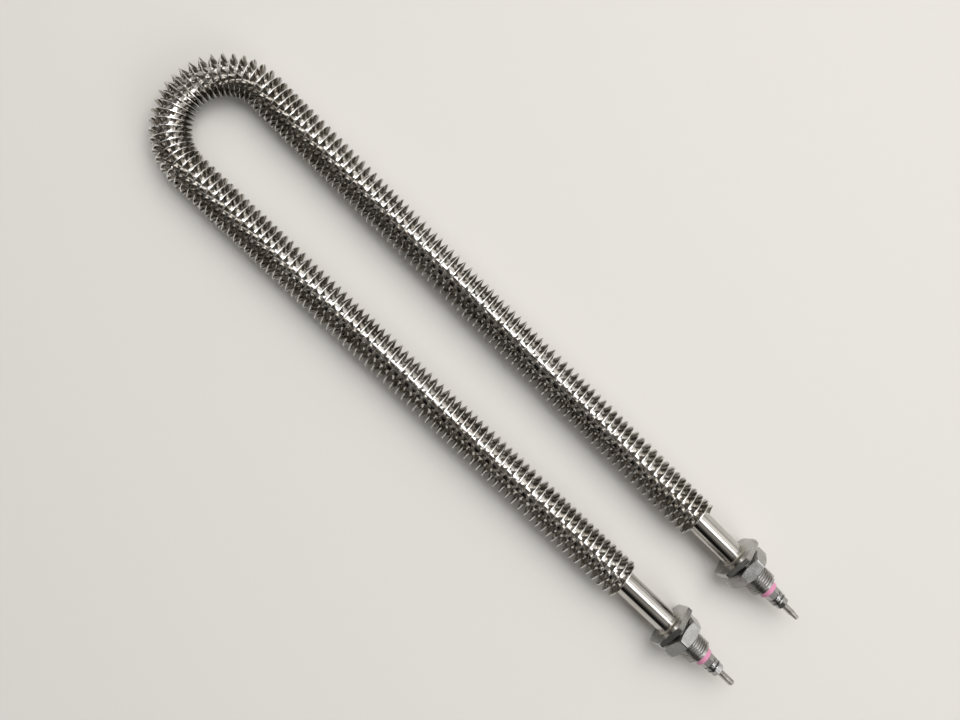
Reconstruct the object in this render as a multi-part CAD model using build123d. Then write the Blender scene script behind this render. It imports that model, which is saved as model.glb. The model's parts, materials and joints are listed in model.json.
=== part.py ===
from build123d import *
import os
from math import cos, degrees, pi, radians, sin, tan

# U-bent tubular heating element with a wound spiral fin, in millimetres.
# Frame: origin midway between the two fittings, in the plane of the collar faces that seat on a
# panel; +X runs out along the terminals, +Y across the legs, +Z up. The U lies flat, and its legs lean
# in a little towards the fittings. Lengths named X are measured along a leg from its collar seat.

# ---- driving dimensions ----
SEAT_SPACING = 53.7           # between the centre lines of the two fittings, at their seats
LEG_LENGTH = 380.5            # from a collar seat to the start of the bend
TOE_IN = 0.7                  # degrees that each leg leans towards the other at its fitting
TUBE_DIAMETER = 14.0
TUBE_WALL = 1.0

FIN_HEIGHT = 5.0              # width of the strip that is wound on edge
FIN_THICKNESS = 0.4
FIN_PITCH = 4.5
BARE_TUBE = {"right": 36.5, "left": 29.0}   # smooth tube between collar and fin

COLLAR_FLATS = 27.0
COLLAR_THICKNESS = 3.2
COLLAR_FACE = 29.8            # diameter of the collar's faces inside its narrow chamfers
COLLAR_TURN = {"right": 13.5, "left": 13.5}  # degrees from +Z towards +Y to a corner
SOCKET_DEPTH = 2.4            # how far the tube goes into the collar

THREAD_DIAMETER = 16.0        # M16 x 1.5
THREAD_MEAN_DIAMETER = 15.0   # engaged threads are drawn at their mean diameter
THREAD_LENGTH = 21.4          # from the collar seat to the end face
THREAD_CHAMFER = 0.8

NUT_FLATS = 24.0              # thin hexagon nut, M16
NUT_HEIGHT = 8.0
NUT_FACE = 0.95               # diameter of a nut's end faces, as a share of its flats
NUT_GAP = 2.1                 # between the collar seat and the nut
NUT_TURN = {"right": -6.0, "left": 32.0}

BEAD_DIAMETER = 11.0
BEAD_LENGTH = 17.0
BEAD_OVERHANG = 3.6           # how far the bead stands out of the fitting
BEAD_EDGE = 0.6

PIN_DIAMETER = 4.0            # M4 on its outer end
PIN_MEAN_DIAMETER = 3.5       # engaged part of the M4 thread
PIN_REACH = 60.0              # from the collar seat into the leg
PIN_FREE_LENGTH = 11.0        # stud beyond the outer terminal nut
PIN_TIP_LENGTH = {"right": 1.0, "left": 4.0}
PIN_TIP_DIAMETER = {"right": 3.0, "left": 2.6}
SPIGOT_DIAMETER = 3.1         # pin end that the coil is wound on
SPIGOT_LENGTH = 8.0

INNER_NUT_FLATS = 8.0
INNER_NUT_HEIGHT = 4.0
OUTER_NUT_FLATS = 7.0
OUTER_NUT_HEIGHT = 3.2
INNER_NUT_TURN = {"right": 25.0, "left": 28.0}
OUTER_NUT_TURN = {"right": -18.0, "left": 12.0}
WASHER_DIAMETER = 9.0
WASHER_BORE = 4.3
WASHER_THICKNESS = 0.9
SPRING_DIAMETER = 7.2
SPRING_THICKNESS = 1.1
SPRING_SLIT = 0.8
SPRING_SLIT_ANGLE = 25.0

COIL_DIAMETER = 5.0           # over the wire
COIL_WIRE = 0.8
COIL_PITCH = 4.0

SEAL_DEPTH = 12.0             # seal plug inside the tube

# ---- clearances ----
PRESS_CLEARANCE = 0.02        # brazed, potted or screwed together
SLIP_CLEARANCE = 0.05

# ---- sampling of the wound pieces ----
FIN_POINTS_PER_TURN = 16
COIL_POINTS_PER_TURN = 12
STEP = 1e-6                   # share of the path over which a spline's end tangent is taken

# ---- derived places ----
SIDES = {"right": -1, "left": 1}
LEAN = radians(TOE_IN)
BEND_RADIUS = (SEAT_SPACING / 2 + LEG_LENGTH * sin(LEAN)) / cos(LEAN)
BEND_ANGLE = pi + 2 * LEAN
BEND_CENTRE = -LEG_LENGTH * cos(LEAN) - BEND_RADIUS * sin(LEAN)
TUBE_RADIUS = TUBE_DIAMETER / 2
BORE_RADIUS = TUBE_RADIUS - TUBE_WALL
COLLAR_BACK = -COLLAR_THICKNESS
TUBE_END = COLLAR_BACK + SOCKET_DEPTH
BEAD_END = THREAD_LENGTH + BEAD_OVERHANG
BEAD_START = BEAD_END - BEAD_LENGTH
INNER_WASHER_X = BEAD_END + INNER_NUT_HEIGHT
MIDDLE_WASHER_X = INNER_WASHER_X + WASHER_THICKNESS
SPRING_X = MIDDLE_WASHER_X + WASHER_THICKNESS
OUTER_WASHER_X = SPRING_X + SPRING_THICKNESS
OUTER_NUT_X = OUTER_WASHER_X + WASHER_THICKNESS
STACK_END = OUTER_NUT_X + OUTER_NUT_HEIGHT
PIN_END = STACK_END + PIN_FREE_LENGTH
COIL_RADIUS = (COIL_DIAMETER - COIL_WIRE) / 2
COIL_CHANNEL_RADIUS = COIL_DIAMETER / 2 + SLIP_CLEARANCE
CORE_RADIUS = COIL_RADIUS - COIL_WIRE / 2 - SLIP_CLEARANCE
SEAL_START = TUBE_END - SEAL_DEPTH


# ---- helpers ----
def on_axis(side, x):
    """Plane across one leg at x: its normal runs out along the leg and its local x is +Z."""
    heading = Vector(cos(LEAN), -SIDES[side] * sin(LEAN), 0)
    seat = Vector(0, SIDES[side] * SEAT_SPACING / 2, 0)
    return Plane(origin=seat + heading * x, x_dir=(0, 0, 1), z_dir=heading)


def turned(points):
    """Solid of revolution about local Z from (radius, height) points."""
    return revolve(Plane.XZ * Polygon(*points, align=None), Axis.Z)


def rod(radius, start, end):
    return Pos(0, 0, start) * Cylinder(radius, end - start, align=(Align.CENTER, Align.CENTER, Align.MIN))


def hexagon(flats, height, turn, bore, face_diameter=None):
    """Hexagon with turned 30 degree chamfers and a plain bore, standing on local Z = 0."""
    corner = flats / 2 / cos(radians(30))
    face = (face_diameter or flats * NUT_FACE) / 2
    drop = (corner - face) * tan(radians(30))
    prism = extrude(RegularPolygon(flats / 2, 6, major_radius=False, rotation=-turn), height)
    blank = turned([(0, 0), (face, 0), (corner, drop), (corner, height - drop), (face, height), (0, height)])
    return (prism & blank) - rod(bore, -1, height + 1)


def u_rod(radius, right_x, left_x):
    """Round rod along the tube's centre line, from right_x round the bend to left_x."""
    bend_axis = Axis((BEND_CENTRE, 0, 0), (0, 0, -1))
    right = on_axis("right", 0) * rod(radius, -LEG_LENGTH, right_x)
    left = on_axis("left", 0) * rod(radius, -LEG_LENGTH, left_x)
    bend = revolve(on_axis("right", -LEG_LENGTH) * Circle(radius), bend_axis, degrees(BEND_ANGLE))
    return right + bend + left


def path_length(start_x, end_x):
    """Length of the centre line from start_x on the right leg to end_x on the left one."""
    return start_x + LEG_LENGTH + BEND_ANGLE * BEND_RADIUS + LEG_LENGTH + end_x


def path_frame(s, start_x):
    """Centre and outward normal, in the XY plane, at length s from start_x on the right leg."""
    angle = min(max((s - start_x - LEG_LENGTH) / BEND_RADIUS, 0), BEND_ANGLE)
    nx, ny = sin(LEAN - angle), -cos(LEAN - angle)
    straight = s - start_x - LEG_LENGTH - angle * BEND_RADIUS
    return BEND_CENTRE + BEND_RADIUS * nx + straight * ny, BEND_RADIUS * ny - straight * nx, nx, ny


def on_path(s, radius, angle, start_x):
    x, y, nx, ny = path_frame(s, start_x)
    across = radius * cos(angle)
    return Vector(x + across * nx, y + across * ny, radius * sin(angle))


def wound_strip(section, length, turns, start_x, points_per_turn):
    """Closed solid wound along the path: its section's corners are (radius, offset along the tube)."""
    def place(corner, share):
        radius, offset = corner
        return on_path(length * share + offset, radius, 2 * pi * turns * share, start_x)

    def rate(corner, share):
        return (place(corner, share + STEP) - place(corner, share - STEP)) * (0.5 / STEP / turns)

    faces = []
    knots = [i / points_per_turn for i in range(points_per_turn + 1)]
    for turn in range(turns):
        shares = [(turn + i / points_per_turn) / turns for i in range(points_per_turn + 1)]
        edges = []
        for corner in section:
            points = [place(corner, share) for share in shares]
            ends = [rate(corner, shares[0]), rate(corner, shares[-1])]
            edges.append(Edge.make_spline(points, tangents=ends, parameters=knots, scale=False))
        for i, edge in enumerate(edges):
            faces.append(Face.make_surface_from_curves(edge, edges[(i + 1) % len(edges)]))
    for share in (0, 1):
        faces.append(Face(Wire.make_polygon([place(corner, share) for corner in section])))
    return Solid(Shell(faces))


# ---- pieces of the tube ----
def sheath_tube():
    return u_rod(TUBE_RADIUS, TUBE_END, TUBE_END) - u_rod(BORE_RADIUS, TUBE_END, TUBE_END)


def spiral_fin():
    """Strip wound on edge, from the right leg round the bend to the left leg."""
    start_x = COLLAR_BACK - BARE_TUBE["right"]
    end_x = COLLAR_BACK - BARE_TUBE["left"]
    length = path_length(start_x, end_x)
    foot = TUBE_RADIUS + PRESS_CLEARANCE
    rim = TUBE_RADIUS + FIN_HEIGHT
    half = FIN_THICKNESS / 2
    section = [(foot, half), (rim, half), (rim, -half), (foot, -half)]
    return wound_strip(section, length, round(length / FIN_PITCH), start_x, FIN_POINTS_PER_TURN)


def resistance_coil():
    """Wire coil from one pin's spigot to the other's. Its section is drawn with four corners."""
    start_x = -PIN_REACH + COIL_WIRE - SPIGOT_LENGTH / 2 + COIL_PITCH / 2
    length = path_length(start_x, start_x)
    half = COIL_WIRE / 2
    section = [(COIL_RADIUS - half, 0), (COIL_RADIUS, half), (COIL_RADIUS + half, 0), (COIL_RADIUS, -half)]
    return wound_strip(section, length, round(length / COIL_PITCH), start_x, COIL_POINTS_PER_TURN)


def magnesia_fill():
    """Packed powder round the pins and the coil, and the core inside the coil."""
    coil_zone = -PIN_REACH + SLIP_CLEARANCE
    core_end = -PIN_REACH - SPIGOT_LENGTH - SLIP_CLEARANCE
    sleeve = u_rod(BORE_RADIUS - PRESS_CLEARANCE, SEAL_START, SEAL_START)
    sleeve -= u_rod(PIN_DIAMETER / 2 + PRESS_CLEARANCE, SEAL_START, SEAL_START)
    sleeve -= u_rod(COIL_CHANNEL_RADIUS, coil_zone, coil_zone)
    return Compound([sleeve.solid(), u_rod(CORE_RADIUS, core_end, core_end).solid()])


# ---- pieces of one end ----
def threaded_fitting(side):
    bore_radius = BEAD_DIAMETER / 2 + SLIP_CLEARANCE
    collar = Pos(0, 0, COLLAR_BACK) * hexagon(
        COLLAR_FLATS, COLLAR_THICKNESS, COLLAR_TURN[side], bore_radius, COLLAR_FACE)
    mean, crest = THREAD_MEAN_DIAMETER / 2, THREAD_DIAMETER / 2
    nut_end = NUT_GAP + NUT_HEIGHT
    neck = turned([
        (0, 0), (crest, 0), (crest, NUT_GAP), (mean, NUT_GAP), (mean, nut_end), (crest, nut_end),
        (crest, THREAD_LENGTH - THREAD_CHAMFER), (crest - THREAD_CHAMFER, THREAD_LENGTH), (0, THREAD_LENGTH),
    ])
    bore = rod(bore_radius, COLLAR_BACK, THREAD_LENGTH)
    socket = rod(TUBE_RADIUS + PRESS_CLEARANCE, COLLAR_BACK, TUBE_END)
    return collar + neck - bore - socket


def jam_nut(side):
    bore = THREAD_MEAN_DIAMETER / 2 + PRESS_CLEARANCE
    return Pos(0, 0, NUT_GAP) * hexagon(NUT_FLATS, NUT_HEIGHT, NUT_TURN[side], bore)


def end_seal():
    """Resin plug: fills the tube's mouth and the fitting's bore up to the bead."""
    plug = rod(BORE_RADIUS - PRESS_CLEARANCE, SEAL_START, TUBE_END)
    plug += rod(BEAD_DIAMETER / 2, TUBE_END, BEAD_START)
    return plug - rod(PIN_DIAMETER / 2 + PRESS_CLEARANCE, SEAL_START, BEAD_START)


def ceramic_bead():
    radius = BEAD_DIAMETER / 2
    bead = turned([
        (0, BEAD_START), (radius, BEAD_START), (radius, BEAD_END - BEAD_EDGE),
        (radius - BEAD_EDGE, BEAD_END), (0, BEAD_END),
    ])
    return bead - rod(PIN_DIAMETER / 2 + SLIP_CLEARANCE, BEAD_START, BEAD_END)


def terminal_pin(side):
    radius, mean, spigot = PIN_DIAMETER / 2, PIN_MEAN_DIAMETER / 2, SPIGOT_DIAMETER / 2
    tip = PIN_TIP_DIAMETER[side] / 2
    tip_start = PIN_END - PIN_TIP_LENGTH[side]
    return turned([
        (0, -PIN_REACH - SPIGOT_LENGTH), (spigot, -PIN_REACH - SPIGOT_LENGTH), (spigot, -PIN_REACH),
        (radius, -PIN_REACH), (radius, BEAD_END), (mean, BEAD_END), (mean, STACK_END), (radius, STACK_END),
        (radius, tip_start), (tip, PIN_END), (0, PIN_END),
    ])


def inner_terminal_nut(side):
    bore = PIN_MEAN_DIAMETER / 2 + PRESS_CLEARANCE
    return Pos(0, 0, BEAD_END) * hexagon(INNER_NUT_FLATS, INNER_NUT_HEIGHT, INNER_NUT_TURN[side], bore)


def outer_terminal_nut(side):
    bore = PIN_MEAN_DIAMETER / 2 + PRESS_CLEARANCE
    return Pos(0, 0, OUTER_NUT_X) * hexagon(OUTER_NUT_FLATS, OUTER_NUT_HEIGHT, OUTER_NUT_TURN[side], bore)


def flat_washer(x):
    outer = rod(WASHER_DIAMETER / 2, x, x + WASHER_THICKNESS)
    return outer - rod(WASHER_BORE / 2, x, x + WASHER_THICKNESS)


def spring_washer():
    ring = rod(SPRING_DIAMETER / 2, SPRING_X, OUTER_WASHER_X) - rod(WASHER_BORE / 2, SPRING_X, OUTER_WASHER_X)
    from_centre = (Align.MIN, Align.CENTER, Align.CENTER)
    slit = Box(SPRING_DIAMETER, SPRING_SLIT, 3 * SPRING_THICKNESS, align=from_centre)
    return ring - Pos(0, 0, SPRING_X + SPRING_THICKNESS / 2) * Rot(SPRING_SLIT_ANGLE, 0, 0) * slit


nodes = {
    "sheath_tube": sheath_tube(),
    "spiral_fin": spiral_fin(),
    "resistance_coil": resistance_coil(),
    "magnesia_fill": magnesia_fill(),
}
for side in SIDES:
    end = {
        "threaded_fitting": threaded_fitting(side),
        "jam_nut": jam_nut(side),
        "end_seal": end_seal(),
        "ceramic_bead": ceramic_bead(),
        "terminal_pin": terminal_pin(side),
        "inner_terminal_nut": inner_terminal_nut(side),
        "inner_washer": flat_washer(INNER_WASHER_X),
        "middle_washer": flat_washer(MIDDLE_WASHER_X),
        "spring_washer": spring_washer(),
        "outer_washer": flat_washer(OUTER_WASHER_X),
        "outer_terminal_nut": outer_terminal_nut(side),
    }
    for name, piece in end.items():
        nodes[f"{side}_{name}"] = on_axis(side, 0) * piece

os.makedirs("parts", exist_ok=True)
for name, piece in nodes.items():
    export_step(piece, f"parts/{name}.step")
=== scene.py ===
# Finned U-bent heating element: its looks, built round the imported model.
# Blender's lengths are metres; the dictionaries are in millimetres and degrees.
import json
import math

import bmesh
import bpy
from mathutils import Matrix, Vector


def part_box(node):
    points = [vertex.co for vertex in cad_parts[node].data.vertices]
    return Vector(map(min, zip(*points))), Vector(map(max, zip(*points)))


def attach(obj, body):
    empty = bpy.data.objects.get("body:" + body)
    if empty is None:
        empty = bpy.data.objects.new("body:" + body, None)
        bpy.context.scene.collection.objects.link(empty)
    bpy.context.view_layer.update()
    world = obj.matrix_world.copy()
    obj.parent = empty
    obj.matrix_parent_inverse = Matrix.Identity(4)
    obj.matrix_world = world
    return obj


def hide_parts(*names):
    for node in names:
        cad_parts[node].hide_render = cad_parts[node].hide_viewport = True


mm = 0.001
mergeDistance = 1e-4          # vertices closer than this are one, in millimetres
sharpEdge = 50                # edges that fold by more degrees than this are rounded off
reliefDepth = 0.05            # depth of the finishes' finest marks, in millimetres
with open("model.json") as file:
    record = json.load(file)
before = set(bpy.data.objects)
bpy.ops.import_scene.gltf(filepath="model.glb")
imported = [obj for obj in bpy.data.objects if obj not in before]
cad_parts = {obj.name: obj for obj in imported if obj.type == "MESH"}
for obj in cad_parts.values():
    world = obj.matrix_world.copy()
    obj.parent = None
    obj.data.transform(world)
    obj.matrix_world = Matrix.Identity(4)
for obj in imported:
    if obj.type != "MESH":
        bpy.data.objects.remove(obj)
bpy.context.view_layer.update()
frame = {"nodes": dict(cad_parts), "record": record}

# the element's own sizes, read from the model and its mounts, in millimetres
tubeLow, tubeHigh = (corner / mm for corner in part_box("sheath_tube"))
finLow, finHigh = (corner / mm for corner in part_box("spiral_fin"))
tubeRadius = (tubeHigh.z - tubeLow.z) / 2
finRadius = (finHigh.z - finLow.z) / 2
leftSeat = [mount for mount in frame["record"]["mounts"] if mount["name"] == "left_seat"][0]
seatY = leftSeat["pos_m"][1] / mm
lean = math.atan2(-leftSeat["axis"][1], leftSeat["axis"][0])
legLength = 380.5             # from a seat to the start of the bend
bendRadius = (seatY + legLength * math.sin(lean)) / math.cos(lean)
bendX = -legLength * math.cos(lean) - bendRadius * math.sin(lean)
bendAngle = math.pi + 2 * lean
sides = {"right": -1, "left": 1}
print("frame loaded: bend radius", round(bendRadius, 2), "mm, centre at", round(bendX, 2), "mm")


# helpers for shapes
def legMatrix(side):
    # from a leg drawn along the X axis, its seat at the origin, to its place in the element
    turn = Matrix.Rotation(-sides[side] * lean, 4, "Z")
    return Matrix.Translation((0, sides[side] * seatY, 0)) @ turn


def finishPiece(bm, name, material, node, side=None, sharpAngle=35):
    # a piece of one end is named for its side, and so is the model's node that it stands for
    if side:
        name, node = side + name, node and side + "_" + node
        bmesh.ops.transform(bm, matrix=legMatrix(side), verts=bm.verts)
    bmesh.ops.recalc_face_normals(bm, faces=bm.faces)
    bmesh.ops.scale(bm, vec=(mm, mm, mm), verts=bm.verts)
    mesh = bpy.data.meshes.new(name)
    bm.to_mesh(mesh)
    bm.free()
    mesh.materials.append(material)
    mesh.shade_smooth()
    mesh.set_sharp_from_angle(angle=math.radians(sharpAngle))
    piece = bpy.data.objects.new(name, mesh)
    bpy.context.collection.objects.link(piece)
    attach(piece, "root")
    if node:
        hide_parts(node)
    return piece


def onAxis(x, radius, angle):
    # round the X axis, from straight up towards +Y
    return Vector((x, radius * math.sin(angle), radius * math.cos(angle)))


def roundAt(x, radius):
    return lambda angle: (x, radius)


def hexAt(x, flats, turn, faceRadius, way=1):
    # a hexagon whose end is cut by a turned 30 degree cone; way is the side that the end faces
    def station(angle):
        fromFlat = (math.degrees(angle) - turn) % 60 - 30
        radius = flats / 2 / math.cos(math.radians(fromFlat))
        drop = max(0, radius - faceRadius) * math.tan(math.radians(30))
        return x - way * drop, radius
    return station


def hexFace(x, flats, turn, faceRadius):
    # the rim of the flat face inside those cuts
    outline = hexAt(x, flats, turn, faceRadius)
    return lambda angle: (x, min(faceRadius, outline(angle)[1]))


def vertsOf(geom):
    return [item for item in geom if isinstance(item, bmesh.types.BMVert)]


def edgesBetween(geom, verts):
    ends = set(verts)
    edges = [item for item in geom if isinstance(item, bmesh.types.BMEdge)]
    return [edge for edge in edges if ends.issuperset(edge.verts)]


def stackLoops(bm, stations, turn=0.0, around=96, closed=True):
    # one loop is extruded from station to station, and the last one meets the first
    loop = bmesh.ops.create_circle(bm, radius=1, segments=around)["verts"]
    for i, vert in enumerate(loop):
        angle = math.radians(turn + 360 * i / around)
        x, radius = stations[0](angle)
        vert.co = onAxis(x, radius, angle)
    edges = edgesBetween(bm.edges, loop)
    for station in stations[1:] + stations[:1] * closed:
        grown = bmesh.ops.extrude_edge_only(bm, edges=edges)["geom"]
        verts = vertsOf(grown)
        for vert in verts:
            angle = math.atan2(vert.co.y, vert.co.z)
            x, radius = station(angle)
            vert.co = onAxis(x, radius, angle)
        edges = edgesBetween(grown, verts)
    bmesh.ops.remove_doubles(bm, verts=bm.verts, dist=mergeDistance)


def alongAxis(edge):
    return abs((edge.verts[0].co - edge.verts[1].co).normalized().x) > 0.99


def softenEdges(bm, offset, chosen=lambda edge: True, segments=2):
    edges = [
        edge for edge in bm.edges
        if edge.is_manifold and math.degrees(edge.calc_face_angle()) > sharpEdge and chosen(edge)]
    bmesh.ops.bevel(
        bm, geom=edges, offset=offset, affect="EDGES", segments=segments, profile=0.5, material=-1,
        clamp_overlap=True)


def spinSection(bm, section, first, axis, angle, rise, steps):
    # a section of four (x, radius) corners is spun from its first angle, rising a little each step
    verts = [bm.verts.new(onAxis(x, radius, first)) for x, radius in section]
    edges = [bm.edges.new((verts[i], verts[(i + 1) % 4])) for i in range(4)]
    made = bmesh.ops.spin(
        bm, geom=verts + edges, cent=(0, 0, 0), axis=axis, angle=angle, dvec=(rise, 0, 0),
        steps=steps, use_merge=False)
    bmesh.ops.contextual_create(bm, geom=verts)
    bmesh.ops.contextual_create(bm, geom=vertsOf(made["geom_last"]))


# a thread's ridge, in shares of the pitch for what runs along the axis
ridge = {
    "foot": 0.9, "flat": 0.16, "runOut": 1 / 6,
    "sunk": 0.06,             # how far the foot is sunk into the root
    "hidden": 0.03,           # how far the run-out ends below the root
    "rise": 1.2,              # slope at which the ridge comes up at its start
}


def windRidge(bm, startX, endX, thread):
    # one thread: its section is spun, moving on by a pitch a turn, and its two ends are cut down
    pitch, crest, root = thread["pitch"], thread["crest"], thread["root"]
    sunk = root - ridge["sunk"]
    foot, flat = ridge["foot"] * pitch, ridge["flat"] * pitch
    section = [(0, sunk), ((foot - flat) / 2, crest), ((foot + flat) / 2, crest), (foot, sunk)]
    steps = max(6, round((endX - startX - foot) / pitch * thread["steps"]))
    spinSection(
        bm, [(startX + x, radius) for x, radius in section], 0, (1, 0, 0),
        2 * math.pi * steps / thread["steps"], pitch / thread["steps"], steps)
    # the last part of a turn runs out into the root
    height, runOut = crest - root, ridge["runOut"] * pitch
    outX = endX - (foot - flat) / 2 - runOut
    for vert in bm.verts:
        x, offset = vert.co.x, Vector((0, vert.co.y, vert.co.z))
        if startX - mergeDistance <= x <= endX + pitch and offset.length > root + mergeDistance:
            cut = min(
                root + (x - startX) * ridge["rise"], crest - (x - endX + thread["chamfer"]),
                crest - (x - outX) * height / runOut)
            radius = max(root - ridge["hidden"], min(offset.length, cut))
            vert.co.y = offset.y * radius / offset.length
            vert.co.z = offset.z * radius / offset.length


# helpers for materials
def linear(code):
    channels = [int(code[i:i + 2], 16) / 255 for i in (1, 3, 5)]
    return [c / 12.92 if c <= 0.04045 else ((c + 0.055) / 1.055) ** 2.4 for c in channels] + [1.0]


def addNode(tree, kind, settings=None, **inputs):
    # settings are the node's own options; an input is named, or i2 for the third one, and takes
    # a value or another node's output
    node = tree.nodes.new(kind)
    for key, value in (settings or {}).items():
        setattr(node, key, value)
    for key, value in inputs.items():
        byNumber = key[0] == "i" and key[1:].isdigit()
        socket = node.inputs[int(key[1:]) if byNumber else key.replace("_", " ")]
        if isinstance(value, bpy.types.NodeSocket):
            tree.links.new(value, socket)
        else:
            socket.default_value = value
    return node


def newMaterial(name):
    material = bpy.data.materials.new(name)
    material.use_nodes = True
    tree = material.node_tree
    tree.nodes.clear()
    return material, tree


def metalFinish(name, look):
    # a metal: two tones mixed by soft blotches, fine marks of how it was worked, and uneven polish
    material, tree = newMaterial(name)
    place = addNode(tree, "ShaderNodeTexCoord").outputs["Object"]
    grainScale = [1000 / size for size in look["grain"]]
    grainPlace = addNode(tree, "ShaderNodeMapping", Vector=place, Scale=grainScale).outputs[0]
    blotches = addNode(
        tree, "ShaderNodeTexNoise", Vector=place, Scale=1000 / look["blotch"], Detail=3.0,
        Roughness=0.6)
    grain = addNode(
        tree, "ShaderNodeTexNoise", Vector=grainPlace, Scale=1.0, Detail=4.0, Roughness=0.65)
    tone = addNode(
        tree, "ShaderNodeMapRange", Value=blotches.outputs[0], From_Min=0.35, From_Max=0.7)
    colour = addNode(
        tree, "ShaderNodeMix", {"data_type": "RGBA"}, Factor=tone.outputs[0],
        i6=linear(look["colour"]), i7=linear(look["tint"])).outputs[2]
    # painted highlight: near white laid on the strip towards its rim, by its height up the strip
    if "rim" in look:
        height = addNode(tree, "ShaderNodeAttribute", {"attribute_name": "stripHeight"})
        start, end = look["rimHeights"]
        rimHighlightShare = addNode(
            tree, "ShaderNodeMapRange", Value=height.outputs["Fac"], From_Min=start, From_Max=end)
        colour = addNode(
            tree, "ShaderNodeMix", {"data_type": "RGBA"}, Factor=rimHighlightShare.outputs[0], i6=colour,
            i7=linear(look["rim"])).outputs[2]
    polish = addNode(
        tree, "ShaderNodeMapRange", Value=grain.outputs[0], From_Min=0.3, From_Max=0.7,
        To_Min=look["rough"][0], To_Max=look["rough"][1])
    relief = addNode(
        tree, "ShaderNodeBump", Height=grain.outputs[0], Strength=look["bump"],
        Distance=reliefDepth * mm)
    shader = addNode(
        tree, "ShaderNodeBsdfPrincipled", Metallic=1.0, Base_Color=colour,
        Roughness=polish.outputs[0], Normal=relief.outputs[0])
    addNode(tree, "ShaderNodeOutputMaterial", Surface=shader.outputs[0])
    return material


# stainless tube, cold drawn and bright annealed: mirror-like along its length, faint draw lines
drawnStainless = metalFinish("drawnStainlessTube", {
    "colour": "#cccac6", "tint": "#bcb7af", "rough": (0.1, 0.19), "bump": 0.03,
    "grain": (60, 1.2, 1.2), "blotch": 18})

# stainless strip, cold rolled and crimped, in two tones mixed at random; towards its sheared rim
# it is painted near white, a painted highlight, so the crimps below look duller
rolledStrip = metalFinish("coldRolledStainlessStrip", {
    "colour": "#c6c3be", "tint": "#a19b93", "rough": (0.14, 0.28), "bump": 0.1,
    "grain": (1.2, 1.2, 1.2), "blotch": 9, "rim": "#f5f4f1", "rimHeights": (0.72, 1.0)})

# free-cutting steel, turned on a lathe: fine rings round the axis and a satin sheen
turnedSteel = metalFinish("turnedSteel", {
    "colour": "#c0bfbd", "tint": "#a5a3a0", "rough": (0.22, 0.32), "bump": 0.08,
    "grain": (0.3, 14, 14), "blotch": 7})

# steel nuts and washers, zinc plated: bright, slightly milky, with soft patches
platedSteel = metalFinish("zincPlatedSteel", {
    "colour": "#b7b7b6", "tint": "#a09f9d", "rough": (0.18, 0.27), "bump": 0.05,
    "grain": (1.5, 1.5, 1.5), "blotch": 5})

# steel rod, drawn bright, with a rolled thread on its end
drawnRod = metalFinish("brightDrawnSteelRod", {
    "colour": "#cbc9c4", "tint": "#b0aca5", "rough": (0.15, 0.26), "bump": 0.05,
    "grain": (8, 0.6, 0.6), "blotch": 5})

# silver braze, wiped and left to set: pale, warm and softly uneven
brazeAlloy = metalFinish("silverBraze", {
    "colour": "#b3aea5", "tint": "#8b857b", "rough": (0.24, 0.36), "bump": 0.12,
    "grain": (0.8, 0.8, 0.8), "blotch": 2})

# nickel-chrome wire, drawn and fired dull
resistanceWire = metalFinish("nickelChromeWire", {
    "colour": "#8c857b", "tint": "#6a6259", "rough": (0.35, 0.55), "bump": 0.3,
    "grain": (2, 0.3, 0.3), "blotch": 3})


def dryFinish(name, look):
    # a ceramic, powder or resin: body colour mottled by grains, with small pores
    material, tree = newMaterial(name)
    place = addNode(tree, "ShaderNodeTexCoord").outputs["Object"]
    mottle = addNode(
        tree, "ShaderNodeTexNoise", Vector=place, Scale=1000 / look["mottle"], Detail=4.0,
        Roughness=0.6)
    pores = addNode(tree, "ShaderNodeTexVoronoi", Vector=place, Scale=1000 / look["pore"])
    colour = addNode(
        tree, "ShaderNodeMix", {"data_type": "RGBA"}, Factor=mottle.outputs[0],
        i6=linear(look["colour"]), i7=linear(look["tint"]))
    relief = addNode(
        tree, "ShaderNodeBump", Height=pores.outputs[0], Strength=look["bump"],
        Distance=reliefDepth * mm)
    rough = addNode(
        tree, "ShaderNodeMapRange", Value=mottle.outputs[0], From_Min=0.3, From_Max=0.7,
        To_Min=look["rough"][0], To_Max=look["rough"][1])
    shader = addNode(
        tree, "ShaderNodeBsdfPrincipled", Base_Color=colour.outputs[2], Roughness=rough.outputs[0],
        Normal=relief.outputs[0], IOR=look["ior"])
    addNode(tree, "ShaderNodeOutputMaterial", Surface=shader.outputs[0])
    return material


# pink alumina, pressed and fired unglazed: even, chalky, with a faint sheen
pinkAlumina = dryFinish("pinkAlumina", {
    "colour": "#c9789c", "tint": "#d997b5", "rough": (0.38, 0.55), "bump": 0.1,
    "mottle": 1.6, "pore": 0.25, "ior": 1.6})

# silicone resin, poured and cured in the tube's mouth
curedResin = dryFinish("curedSiliconeResin", {
    "colour": "#9a8f80", "tint": "#b5ab9b", "rough": (0.5, 0.7), "bump": 0.2,
    "mottle": 3, "pore": 0.6, "ior": 1.45})

# magnesia powder, packed hard by swaging: white and matt
packedMagnesia = dryFinish("packedMagnesia", {
    "colour": "#e9e6df", "tint": "#d8d3c8", "rough": (0.8, 0.95), "bump": 0.4,
    "mottle": 1.2, "pore": 0.2, "ior": 1.7})
print("materials made:", len(bpy.data.materials))


# sheath tube
sheath = {"wall": 1.0, "around": 64, "bendSteps": 72, "endX": -0.8}


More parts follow.
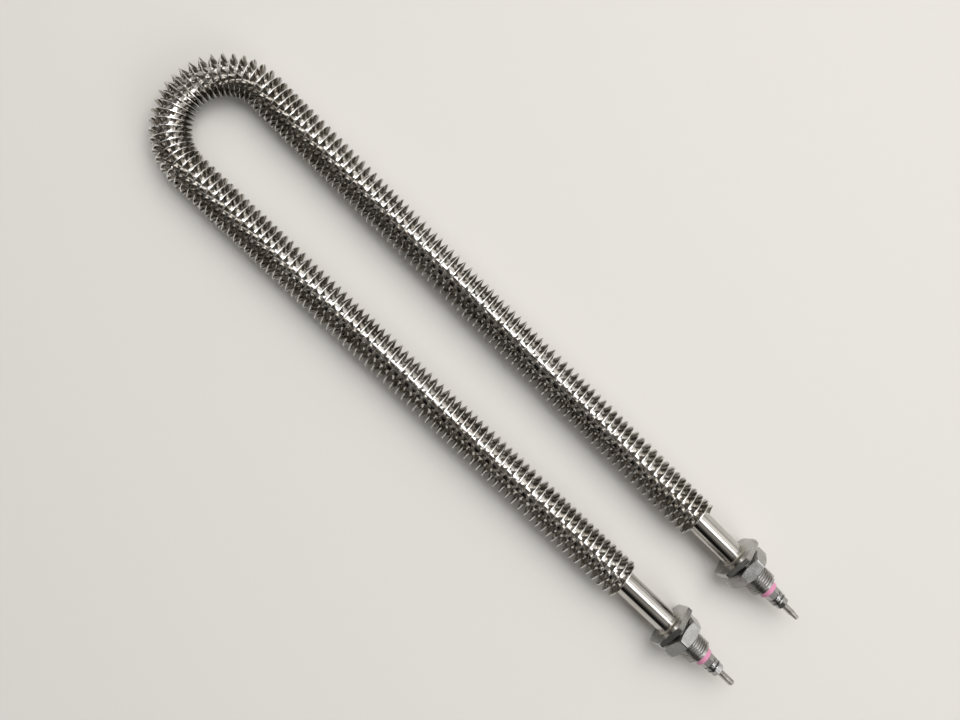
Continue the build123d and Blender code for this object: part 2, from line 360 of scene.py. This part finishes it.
def makeSheath():
    bm = bmesh.new()
    rims = []
    for radius in (tubeRadius, tubeRadius - sheath["wall"]):
        turn = Matrix.Rotation(math.radians(90), 4, "Y")
        mouth = Matrix.Translation((sheath["endX"], 0, 0)) @ turn
        start = bmesh.ops.create_circle(
            bm, radius=radius, segments=sheath["around"],
            matrix=legMatrix("right") @ mouth)["verts"]
        ring = edgesBetween(bm.edges, start)
        rims += ring
        run = legLength + sheath["endX"]
        for side, way in (("right", -1), ("left", 1)):
            grown = bmesh.ops.extrude_edge_only(bm, edges=ring)["geom"]
            verts = vertsOf(grown)
            heading = legMatrix(side).to_3x3() @ Vector((way, 0, 0))
            bmesh.ops.translate(bm, verts=verts, vec=heading * run)
            ring = edgesBetween(grown, verts)
            if side == "right":
                bend = bmesh.ops.spin(
                    bm, geom=verts + ring, cent=(bendX, 0, 0), axis=(0, 0, -1), angle=bendAngle,
                    steps=sheath["bendSteps"])["geom_last"]
                ring = edgesBetween(bend, vertsOf(bend))
        rims += ring
    for way in sides.values():
        bmesh.ops.bridge_loops(bm, edges=[edge for edge in rims if edge.verts[0].co.y * way > 0])
    finishPiece(bm, "sheathTube", drawnStainless, "sheath_tube")


makeSheath()
print("sheath tube made")

# spiral fin: a strip wound on edge, whose foot is crimped into waves that fade to a straight rim
fin = {
    "pitch": 4.5,
    "thickness": 0.4,
    "wavesPerTurn": 11.35,      # not whole, so the crimps drift from turn to turn
    "crimp": 2.0,               # half the travel of the foot along the tube
    "fade": 1.15,               # how soon the crimps die out up the strip
    "stepsPerWave": 8,
    "bareRight": 39.7,          # from the seats to the first turn on each leg
    "bareLeft": 32.2,
    "footClearance": 0.02,
    "rows": (0.0, 0.5, 1.0),    # heights up the strip that carry vertices
    "unevenness": 0.11,         # share by which the pitch swells and tightens along the legs
    "unevenLengths": (83.0, 37.0),
    "steadied": 20,             # the swell comes in over this part of the whole length at each end
}


def pathFrame(s):
    # centre and outward normal at length s along the fin, from the right leg round to the left
    run = legLength - fin["bareRight"]
    angle = min(max((s - run) / bendRadius, 0), bendAngle)
    straight = s - run - angle * bendRadius
    nx, ny = math.sin(lean - angle), -math.cos(lean - angle)
    return bendX + bendRadius * nx + straight * ny, bendRadius * ny - straight * nx, nx, ny


def onPath(s, radius, angle):
    x, y, nx, ny = pathFrame(s)
    across = radius * math.cos(angle)
    return Vector((x + across * nx, y + across * ny, radius * math.sin(angle)))


def makeFin():
    bm = bmesh.new()
    length = 2 * legLength - fin["bareRight"] - fin["bareLeft"] + bendAngle * bendRadius
    turns = round(length / fin["pitch"])
    waves = round(turns * fin["wavesPerTurn"])
    steps = waves * fin["stepsPerWave"]
    foot = tubeRadius + fin["footClearance"]
    waveLength = 2 * math.pi * foot * turns / waves
    half = fin["thickness"] / 2
    heights = fin["rows"] + fin["rows"][::-1]
    strokes = [1] * len(fin["rows"]) + [-1] * len(fin["rows"])    # up one face, down the other
    bmesh.ops.create_grid(bm, x_segments=steps, y_segments=len(heights), size=1)
    heightLayer = bm.verts.layers.float.new("stripHeight")
    for vert in bm.verts:
        share = (vert.co.x + 1) / 2
        row = round((vert.co.y + 1) / 2 * len(heights)) % len(heights)
        height, face = heights[row], strokes[row]
        radius = foot + height * (finRadius - foot)
        angle = 2 * math.pi * turns * share
        phase = 2 * math.pi * waves * share
        s = length * share
        for span in fin["unevenLengths"]:
            swell = fin["unevenness"] * span / (2 * math.pi) / 2
            steadied = min(1, fin["steadied"] * share, fin["steadied"] * (1 - share))
            s += swell * math.sin(2 * math.pi * length / span * share) * steadied
        travel = fin["crimp"] * (1 - height) ** fin["fade"]
        lift = travel * math.cos(phase)
        slope = -travel * math.sin(phase) * 2 * math.pi / waveLength
        along = face * half / math.hypot(1, slope)
        around = -along * slope / radius
        vert.co = onPath(s + lift + along, radius, angle + around)
        vert[heightLayer] = height
    bmesh.ops.remove_doubles(bm, verts=bm.verts, dist=mergeDistance)
    openEdges = [edge for edge in bm.edges if edge.is_boundary]
    bmesh.ops.holes_fill(bm, edges=openEdges, sides=0)
    piece = finishPiece(bm, "spiralFin", rolledStrip, "spiral_fin", sharpAngle=72)
    print("fin:", turns, "turns,", waves, "crimps,", len(piece.data.polygons), "faces")


makeFin()

# threaded fittings with their collars
fitting = {
    "collarFlats": 27.0, "collarThickness": 3.2, "collarTurn": 13.5, "collarFace": 14.9,
    "collarCorner": 0.25,
    "socketRadius": tubeRadius + 0.02, "socketDepth": 2.4,
    "bore": 5.55, "mouthChamfer": 0.35, "length": 21.4, "endEdge": 0.1,
    "gap": 2.1, "nutHeight": 8.0, "underNut": 7.5,
    "thread": {"pitch": 1.5, "crest": 8.0, "root": 7.08, "steps": 48, "chamfer": 0.8},
    "threadHidden": 0.2,      # how far the free thread starts inside the nut
    "neckThread": {"start": 0.1, "hidden": 0.4, "chamfer": 0.4},    # between collar and nut
}
braze = {"reach": 1.3, "length": 1.2, "clearance": 0.03, "steps": 6}


def makeFitting(side):
    bm = bmesh.new()
    thread = fitting["thread"]
    back, turn = -fitting["collarThickness"], fitting["collarTurn"]
    flats, faceRadius = fitting["collarFlats"], fitting["collarFace"]
    nutEnd = fitting["gap"] + fitting["nutHeight"]
    stackLoops(bm, [
        roundAt(fitting["length"] - fitting["mouthChamfer"], fitting["bore"]),
        roundAt(fitting["length"], fitting["bore"] + fitting["mouthChamfer"]),
        roundAt(fitting["length"], thread["root"] - fitting["endEdge"]),
        roundAt(fitting["length"] - fitting["endEdge"], thread["root"]),
        roundAt(nutEnd, thread["root"]),
        roundAt(nutEnd, fitting["underNut"]),
        roundAt(fitting["gap"], fitting["underNut"]),
        roundAt(fitting["gap"], thread["root"]),
        roundAt(0, thread["root"]),
        hexFace(0, flats, turn, faceRadius),
        hexAt(0, flats, turn, faceRadius, 1),
        hexAt(back, flats, turn, faceRadius, -1),
        hexFace(back, flats, turn, faceRadius),
        roundAt(back, fitting["socketRadius"]),
        roundAt(back + fitting["socketDepth"], fitting["socketRadius"]),
        roundAt(back + fitting["socketDepth"], fitting["bore"]),
    ], turn)
    softenEdges(bm, fitting["collarCorner"], alongAxis)
    windRidge(bm, nutEnd - fitting["threadHidden"], fitting["length"], thread)
    neck = dict(thread, **fitting["neckThread"])
    windRidge(bm, neck["start"], fitting["gap"] + neck["hidden"], neck)
    finishPiece(
        bm, "ThreadedFitting", turnedSteel, "threaded_fitting", side,
        sharpAngle=24)


def makeBraze(side):
    # a hollow fillet in the corner between the tube and the collar's back
    bm = bmesh.new()
    back, inner = -fitting["collarThickness"], tubeRadius + braze["clearance"]
    curve = []
    for i in range(braze["steps"] + 1):
        angle = math.radians(90 * i / braze["steps"])
        x = back - braze["length"] * (1 - math.sin(angle))
        curve.append(roundAt(x, inner + braze["reach"] * (1 - math.cos(angle))))
    stackLoops(bm, curve + [roundAt(back, inner)], around=64)
    finishPiece(bm, "BrazeFillet", brazeAlloy, None, side, sharpAngle=50)


# nuts
nutFace = 0.475               # radius of a nut's end faces, as a share of its flats
lockNut = {
    "flats": 24.0, "height": 8.0, "start": 2.1, "bore": 7.52, "countersink": 0.7,
    "turn": {"right": -6.0, "left": 32.0}, "node": "jam_nut", "corner": 0.3}
innerNut = {
    "flats": 8.0, "height": 4.0, "start": 25.0, "bore": 1.77, "countersink": 0.3,
    "turn": {"right": 25.0, "left": 28.0}, "node": "inner_terminal_nut", "corner": 0.12}
outerNut = {
    "flats": 7.0, "height": 3.2, "start": 32.8, "bore": 1.77, "countersink": 0.3,
    "turn": {"right": -18.0, "left": 12.0}, "node": "outer_terminal_nut", "corner": 0.12}


def makeNut(side, nut, name):
    bm = bmesh.new()
    start, end, turn = nut["start"], nut["start"] + nut["height"], nut["turn"][side]
    faceRadius, sink = nut["flats"] * nutFace, nut["countersink"]
    stackLoops(bm, [
        roundAt(start + sink, nut["bore"]),
        roundAt(start, nut["bore"] + sink),
        hexFace(start, nut["flats"], turn, faceRadius),
        hexAt(start, nut["flats"], turn, faceRadius, -1),
        hexAt(end, nut["flats"], turn, faceRadius, 1),
        hexFace(end, nut["flats"], turn, faceRadius),
        roundAt(end, nut["bore"] + sink),
        roundAt(end - sink, nut["bore"]),
    ], turn)
    softenEdges(bm, nut["corner"], alongAxis)
    finishPiece(bm, name, platedSteel, nut["node"], side, sharpAngle=24)


# washers
washers = {
    "InnerWasher": {"start": 29.0, "node": "inner_washer"},
    "MiddleWasher": {"start": 29.9, "node": "middle_washer"},
    "OuterWasher": {"start": 31.9, "node": "outer_washer"},
}
washerSize = {"radius": 4.5, "bore": 2.15, "thickness": 0.9, "edge": 0.14}
springWasher = {
    "start": 30.8, "thickness": 1.1, "radius": 3.6, "bore": 2.15, "edge": 0.1,
    "slit": 12, "slitTurn": 20,             # the slit's width and place, in degrees
    "set": 0.12, "steps": 48,               # how far one end of the ring stands off the other
}


def makeWasher(side, name, washer):
    bm = bmesh.new()
    start, end = washer["start"], washer["start"] + washerSize["thickness"]
    stackLoops(bm, [
        roundAt(start, washerSize["bore"]), roundAt(start, washerSize["radius"]),
        roundAt(end, washerSize["radius"]), roundAt(end, washerSize["bore"])], around=64)
    softenEdges(bm, washerSize["edge"])
    finishPiece(bm, name, platedSteel, washer["node"], side)


def makeSpringWasher(side):
    bm = bmesh.new()
    start, thick = springWasher["start"], springWasher["thickness"] - springWasher["set"]
    corners = [
        (start, springWasher["bore"]), (start, springWasher["radius"]),
        (start + thick, springWasher["radius"]), (start + thick, springWasher["bore"])]
    first = math.radians(springWasher["slitTurn"] + springWasher["slit"] / 2)
    turned, steps = math.radians(360 - springWasher["slit"]), springWasher["steps"]
    spinSection(bm, corners, first, (-1, 0, 0), turned, springWasher["set"] / steps, steps)
    softenEdges(bm, springWasher["edge"])
    finishPiece(bm, "SpringWasher", platedSteel, "spring_washer", side)


# ceramic beads
bead = {"start": 8.0, "end": 25.0, "radius": 5.5, "bore": 2.05, "edge": 0.7, "edgeSteps": 5}


def onOuterRim(edge):
    middle = (bead["bore"] + bead["radius"]) / 2
    return all(
        vert.co.x > bead["end"] - mergeDistance and math.hypot(vert.co.y, vert.co.z) > middle
        for vert in edge.verts)


def makeBead(side):
    bm = bmesh.new()
    stackLoops(bm, [
        roundAt(bead["start"], bead["bore"]), roundAt(bead["start"], bead["radius"]),
        roundAt(bead["end"], bead["radius"]), roundAt(bead["end"], bead["bore"])])
    softenEdges(bm, bead["edge"], onOuterRim, bead["edgeSteps"])
    finishPiece(bm, "CeramicBead", pinkAlumina, "ceramic_bead", side)


# terminal pins
pin = {
    "innerEnd": -68.0, "spigotEnd": -60.0, "spigot": 1.55, "rod": 2.0, "underNuts": 1.75,
    "nutsStart": 25.0, "nutsEnd": 36.0, "end": 47.0,
    "tip": {"right": (1.0, 1.5), "left": (4.0, 1.3)},     # length and end radius
    "thread": {"pitch": 0.7, "crest": 2.0, "root": 1.78, "steps": 24, "chamfer": 0.3},
    "threadHidden": 0.3,      # how far the free thread starts inside the outer nut
    "threadPast": 0.2,        # how far it runs on over the tip
    "dome": (0.6, 6),         # the right tip's rounding: share of the tip's length, and steps
    "pole": 0.02,             # radius of the small face in the middle of each end
}


def makePin(side):
    bm = bmesh.new()
    tipLength, tipRadius = pin["tip"][side]
    root = pin["thread"]["root"]
    pole, (domeShare, domeSteps) = pin["pole"], pin["dome"]
    tipStart = pin["end"] - tipLength
    if side == "right":
        tip = []
        for i in range(domeSteps + 1):
            angle = math.radians(90 * i / domeSteps)
            x = pin["end"] - tipLength * (1 - math.sin(angle)) * domeShare
            tip.append(roundAt(x, tipRadius * math.cos(angle) + pole))
    else:
        tip = [roundAt(pin["end"], tipRadius), roundAt(pin["end"], pole)]
    stackLoops(bm, [
        roundAt(pin["innerEnd"], pole), roundAt(pin["innerEnd"], pin["spigot"]),
        roundAt(pin["spigotEnd"], pin["spigot"]), roundAt(pin["spigotEnd"], pin["rod"]),
        roundAt(pin["nutsStart"], pin["rod"]), roundAt(pin["nutsStart"], pin["underNuts"]),
        roundAt(pin["nutsEnd"], pin["underNuts"]), roundAt(pin["nutsEnd"], root),
        roundAt(tipStart, root)] + tip, around=48, closed=False)
    openEdges = [edge for edge in bm.edges if edge.is_boundary]
    bmesh.ops.holes_fill(bm, edges=openEdges, sides=0)
    windRidge(
        bm, pin["nutsEnd"] - pin["threadHidden"], tipStart + pin["threadPast"], pin["thread"])
    finishPiece(bm, "TerminalPin", drawnRod, "terminal_pin", side, sharpAngle=40)


for side in sides:
    makeFitting(side)
    makeBraze(side)
    makeNut(side, lockNut, "LockNut")
    makeNut(side, innerNut, "InnerTerminalNut")
    makeNut(side, outerNut, "OuterTerminalNut")
    for name, washer in washers.items():
        makeWasher(side, name, washer)
    makeSpringWasher(side)
    makeBead(side)
    makePin(side)
print("both ends made")

# inner pieces keep the model's shapes
innerMaterials = {
    "resistance_coil": resistanceWire, "magnesia_fill": packedMagnesia,
    "right_end_seal": curedResin, "left_end_seal": curedResin}
for node, material in innerMaterials.items():
    for slot in frame["nodes"][node].material_slots:
        slot.material = material

# floor, light and camera
studio = {
    # where the collars and the far fins touch the floor
    "restX": (-2.8, -395.0), "restZ": (-15.16, -12.0),
    "floorSize": 12000,
    "floorColour": "#dcdad6",
    "fades": (500, 2600),         # distances over which the floor runs into the backdrop
    "lampTarget": (-200, 0, 0),
}
camera = {
    "centre": (-185.3, 6.5), "height": 500.0, "viewWidth": 548.0,
    "right": (0.719, 0.695),      # the direction that runs to the right of the view
}
room = {
    # shade against the direction's share of +Y, as (place from 0 to 1, colour)
    "across": (
        (0.0, "#0c0b0b"), (0.16, "#131211"), (0.29, "#5f5d5a"), (0.43, "#b4b1ad"),
        (0.55, "#a4a29f"), (0.68, "#eae8e6"), (0.93, "#f6f4f1"), (1.0, "#c5c3c0")),
    # shade against the share of straight up
    "height": (
        (0.0, "#8f8c88"), (0.3, "#a9a7a3"), (0.6, "#ffffff"), (0.9, "#ffffff"),
        (0.985, "#574b45")),
    "strength": 1.3,
    "backdrop": "#dedbd6",
    # shares of straight up between which metal sees the backdrop run into the room
    "horizon": (0.1, 0.36),
}
# mirrored says whether metal shows the lamp itself
lamps = {
    "key": {
        "at": (-250, 1300, 1700), "size": (1100, 900), "watts": 14.0, "colour": "#fffaf4",
        "mirrored": False},
    "top": {
        "at": (-230, 470, 1400), "size": (1500, 420), "watts": 8.0, "colour": "#fbfcff",
        "mirrored": True},
    "foot": {
        "at": (1500, -100, 1100), "size": (900, 900), "watts": 7.0, "colour": "#ffffff",
        "mirrored": True},
}


def fillRamp(ramp, stops):
    while len(ramp.elements) < len(stops):
        ramp.elements.new(0.5)
    for element, (position, colour) in zip(ramp.elements, stops):
        element.position = position
        element.color = linear(colour)


def backdropRays(tree, mirrored=1.0):
    # 1 for what the camera sees straight, the given share for what metal or glass shows it
    path = addNode(tree, "ShaderNodeLightPath").outputs
    indirect = addNode(
        tree, "ShaderNodeMath", {"operation": "MAXIMUM"}, i0=path["Is Glossy Ray"],
        i1=path["Is Transmission Ray"])
    shown = addNode(
        tree, "ShaderNodeMath", {"operation": "MULTIPLY"}, i0=indirect.outputs[0], i1=mirrored)
    either = addNode(
        tree, "ShaderNodeMath", {"operation": "MAXIMUM"}, i0=path["Is Camera Ray"],
        i1=shown.outputs[0])
    return either.outputs[0]


def makeFloor():
    bm = bmesh.new()
    half = studio["floorSize"] * mm / 2
    bmesh.ops.create_grid(bm, x_segments=1, y_segments=1, size=half)
    (x1, x2), (z1, z2) = studio["restX"], studio["restZ"]
    slope = Matrix.Rotation(math.atan2(z1 - z2, x2 - x1), 3, "Y")
    bmesh.ops.rotate(bm, verts=bm.verts, matrix=slope)
    bmesh.ops.translate(bm, verts=bm.verts, vec=(x1 * mm, 0, z1 * mm))
    mesh = bpy.data.meshes.new("floor")
    bm.to_mesh(mesh)
    bm.free()
    floor = bpy.data.objects.new("floor", mesh)
    bpy.context.collection.objects.link(floor)
    material, tree = newMaterial("palePaper")
    shader = addNode(
        tree, "ShaderNodeBsdfPrincipled", Base_Color=linear(studio["floorColour"]), Roughness=0.85)
    # far from the element the paper runs into the backdrop
    place = addNode(tree, "ShaderNodeTexCoord").outputs["Object"]
    reach = addNode(tree, "ShaderNodeVectorMath", {"operation": "LENGTH"}, Vector=place)
    near, far = (distance * mm for distance in studio["fades"])
    share = addNode(
        tree, "ShaderNodeMapRange", {"interpolation_type": "SMOOTHSTEP"},
        Value=reach.outputs["Value"], From_Min=near, From_Max=far)
    fade = addNode(
        tree, "ShaderNodeMath", {"operation": "MULTIPLY"}, i0=share.outputs[0],
        i1=backdropRays(tree))
    backdrop = addNode(tree, "ShaderNodeEmission", Color=linear(room["backdrop"]), Strength=1.0)
    surface = addNode(
        tree, "ShaderNodeMixShader", Fac=fade.outputs[0], i1=shader.outputs[0],
        i2=backdrop.outputs[0])
    addNode(tree, "ShaderNodeOutputMaterial", Surface=surface.outputs[0])
    mesh.materials.append(material)


def makeLamps():
    target = Vector(studio["lampTarget"]) * mm
    for name, lamp in lamps.items():
        light = bpy.data.lights.new(name, "AREA")
        light.shape = "RECTANGLE"
        light.size, light.size_y = (edge * mm for edge in lamp["size"])
        light.energy = lamp["watts"]
        light.color = linear(lamp["colour"])[:3]
        holder = bpy.data.objects.new(name, light)
        holder.location = Vector(lamp["at"]) * mm
        holder.visible_glossy = lamp["mirrored"]
        holder.rotation_euler = (target - holder.location).to_track_quat("-Z", "Y").to_euler()
        bpy.context.collection.objects.link(holder)


def makeWorld():
    # a soft room: pale on the left leg's side, dark on the right's, dimmer low down and, straight
    # up, brown
    world = bpy.data.worlds.new("softRoom")
    bpy.context.scene.world = world
    world.use_nodes = True
    tree = world.node_tree
    tree.nodes.clear()
    place = addNode(tree, "ShaderNodeTexCoord").outputs["Generated"]
    split = addNode(tree, "ShaderNodeSeparateXYZ", Vector=place)
    sideways = addNode(
        tree, "ShaderNodeMapRange", Value=split.outputs["Y"], From_Min=-1.0, From_Max=1.0)
    across = addNode(tree, "ShaderNodeValToRGB", Fac=sideways.outputs[0])
    fillRamp(across.color_ramp, room["across"])
    height = addNode(tree, "ShaderNodeValToRGB", Fac=split.outputs["Z"])
    fillRamp(height.color_ramp, room["height"])
    shade = addNode(
        tree, "ShaderNodeMix", {"data_type": "RGBA", "blend_type": "MULTIPLY"}, Factor=1.0,
        i6=across.outputs[0], i7=height.outputs[0])
    sky = addNode(tree, "ShaderNodeBackground", Color=shade.outputs[2], Strength=room["strength"])
    backdrop = addNode(tree, "ShaderNodeBackground", Color=linear(room["backdrop"]), Strength=1.0)
    top, end = room["horizon"]
    low = addNode(
        tree, "ShaderNodeMapRange", {"interpolation_type": "SMOOTHSTEP"}, Value=split.outputs["Z"],
        From_Min=top, From_Max=end, To_Min=1.0, To_Max=0.0)
    surface = addNode(
        tree, "ShaderNodeMixShader", Fac=backdropRays(tree, low.outputs[0]), i1=sky.outputs[0],
        i2=backdrop.outputs[0])
    addNode(tree, "ShaderNodeOutputWorld", Surface=surface.outputs[0])


def makeCamera():
    lens = bpy.data.cameras.new("camera")
    lens.sensor_fit = "HORIZONTAL"
    lens.angle = 2 * math.atan(camera["viewWidth"] / 2 / camera["height"])
    lens.clip_start = 0.01
    holder = bpy.data.objects.new("camera", lens)
    right = Vector((*camera["right"], 0)).normalized()
    back = Vector((0, 0, 1))
    up = back.cross(right)
    placed = Matrix((right, up, back)).transposed().to_4x4()
    placed.translation = Vector((*camera["centre"], camera["height"])) * mm
    holder.matrix_world = placed
    bpy.context.collection.objects.link(holder)
    bpy.context.scene.camera = holder


makeFloor()
makeLamps()
makeWorld()
makeCamera()
bpy.context.scene.view_settings.view_transform = "Standard"
print("floor, light and camera made")
